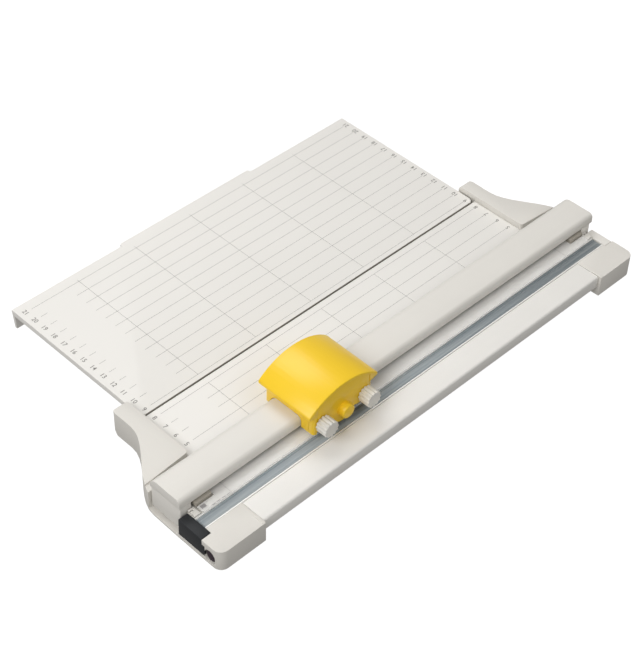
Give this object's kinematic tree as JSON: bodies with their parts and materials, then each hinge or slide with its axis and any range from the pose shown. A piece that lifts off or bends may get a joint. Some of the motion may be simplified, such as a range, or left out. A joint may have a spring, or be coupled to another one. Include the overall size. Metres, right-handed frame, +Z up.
{
  "type": "disc paper trimmer",
  "caption": "Paper trimmer with a ruled bed, a fold-under extension table, a spring-lifted rail with a sliding disc-blade carriage, and a slide-out cutting mat.",
  "frame": {"origin": "on the bench under the middle of the object's box, with the extension table open", "axes": "+X across the cutting line from the paper table to the edge bar, +Y along the rail away from the mat's cap, +Z up"},
  "size_m": [0.2492, 0.384, 0.0525],
  "materials": {
    "body_plastic": "fine-textured warm off-white plastic",
    "printed_sheet": "off-white lacquered steel with a printed centimetre grid",
    "printed_plastic": "off-white plastic with a printed centimetre grid",
    "grey_plastic": "grey moulded plastic",
    "white_plastic": "smooth white bearing plastic",
    "pale_plastic": "pale beige plastic",
    "clear_plastic": "clear plastic",
    "yellow_plastic": "satin yellow plastic",
    "black_plastic": "dark charcoal plastic",
    "plum_plastic": "very dark purple plastic",
    "rubber": "dark rubber",
    "mat": "dark blue-grey translucent plastic",
    "aluminium": "bright extruded aluminium",
    "steel": "bright steel",
    "dark_steel": "dark oiled steel"
  },
  "bodies": {
    "base": {"front_end_frame": "body_plastic", "rear_end_frame": "body_plastic", "table_plate": "printed_sheet", "base_tray": "body_plastic", "edge_bar": "body_plastic", "mat_channel": "aluminium", "mat_end_stop": "body_plastic", "strip_stop_front": "body_plastic", "strip_stop_rear": "body_plastic", "foot_front_left": "rubber", "foot_front_right": "rubber", "foot_rear_left": "rubber", "foot_rear_right": "rubber", "frame_screw_front_left": "steel", "frame_screw_front_right": "steel", "frame_screw_rear_left": "steel", "frame_screw_rear_right": "steel", "rail_guide_post_front": "steel", "rail_guide_post_rear": "steel", "rail_spring_front": "steel", "rail_spring_rear": "steel", "hinge_pin_front": "steel", "hinge_pin_rear": "steel", "lock_spring": "steel"},
    "extension": {"extension_plate": "printed_plastic", "leg_pad_front": "rubber", "leg_pad_rear": "rubber"},
    "rail": {"rail_cover": "body_plastic", "rail_core": "dark_steel", "rail_end_block_front": "body_plastic", "rail_end_block_rear": "body_plastic", "paper_clamp_strip": "clear_plastic", "clamp_bracket_front": "grey_plastic", "clamp_bracket_rear": "grey_plastic"},
    "slider": {"slider_cover": "yellow_plastic", "blade_cover": "yellow_plastic", "blade_axle": "steel", "glide_shoe_left": "white_plastic", "glide_shoe_right": "white_plastic"},
    "blade": {"blade_disc": "steel", "blade_bush": "steel"},
    "knob_front": {"thumb_knob_front": "pale_plastic", "knob_stud_front": "steel"},
    "knob_rear": {"thumb_knob_rear": "pale_plastic", "knob_stud_rear": "steel"},
    "mat": {"cutting_mat": "mat", "mat_end_cap": "black_plastic"},
    "lock": {"mat_lock_button": "plum_plastic"}
  },
  "joints": [
    {"name": "extension_fold", "type": "hinge", "parent": "base", "child": "extension", "pos_m": [0.00275, 0, 0.009], "axis": [0, -1, 0], "range_deg": [0, 180]},
    {"name": "rail_press", "type": "slide", "parent": "base", "child": "rail", "axis": [0, 0, -1], "range_m": [0, 0.0018], "stiffness_N_per_m": 1500, "springref_m": -0.006, "deforming": ["rail_spring_front", "rail_spring_rear"]},
    {"name": "slider_travel", "type": "slide", "parent": "rail", "child": "slider", "axis": [0, 1, 0], "range_m": [-0.0875, 0.2205]},
    {"name": "blade_spin", "type": "hinge", "parent": "slider", "child": "blade", "pos_m": [0.09625, -0.0665, 0.03025], "axis": [1, 0, 0], "continuous": true},
    {"name": "knob_front_turn", "type": "hinge", "parent": "slider", "child": "knob_front", "pos_m": [0.09625, -0.0849, 0.0306], "axis": [1, 0, 0], "continuous": true},
    {"name": "knob_rear_turn", "type": "hinge", "parent": "slider", "child": "knob_rear", "pos_m": [0.09625, -0.0481, 0.0306], "axis": [1, 0, 0], "continuous": true},
    {"name": "mat_slide", "type": "slide", "parent": "base", "child": "mat", "axis": [0, -1, 0], "range_m": [0, 0.3]},
    {"name": "lock_press", "type": "slide", "parent": "base", "child": "lock", "axis": [0, 1, 0], "range_m": [0, 0.0025], "stiffness_N_per_m": 400, "springref_m": -0.003, "deforming": ["lock_spring"]}
  ]
}
